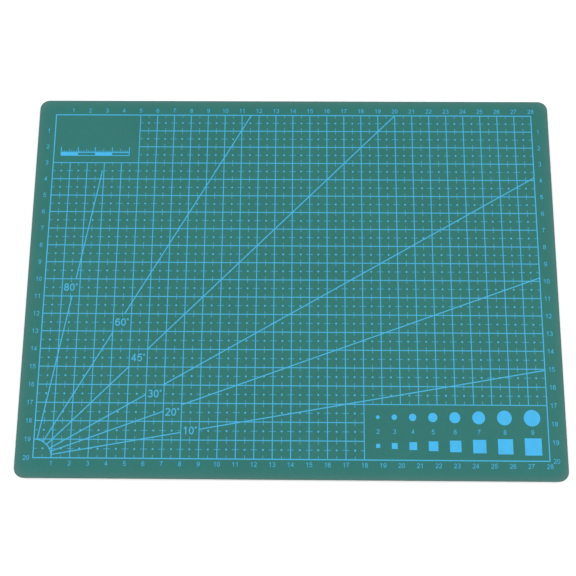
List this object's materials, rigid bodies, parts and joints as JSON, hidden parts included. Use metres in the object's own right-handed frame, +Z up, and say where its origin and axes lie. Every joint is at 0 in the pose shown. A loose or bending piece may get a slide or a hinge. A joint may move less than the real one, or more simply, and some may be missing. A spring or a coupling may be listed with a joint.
{
  "type": "self healing cutting mat",
  "caption": "Flat A4 self healing cutting mat: soft green PVC skins laminated on a hard core, with a printed centimetre grid, rulers, angle lines and hole size gauge.",
  "frame": {"origin": "centre of the underside, on the table", "axes": "+X along the 300 mm length, to the right of a user who reads the print; +Y across the 220 mm width, away from the user; +Z up through the printed top face"},
  "size_m": [0.3, 0.22, 0.003],
  "materials": {
    "green_pvc": "matt, fine grained",
    "dark_green_pvc": "matt, die cut",
    "grey_core_pvc": "satin, die cut",
    "print_ink": "satin screen print ink"
  },
  "bodies": {
    "root": {"bottom_skin": "green_pvc", "lower_tie_ply": "dark_green_pvc", "core_sheet": "grey_core_pvc", "upper_tie_ply": "dark_green_pvc", "top_skin": "green_pvc"}
  },
  "joints": []
}
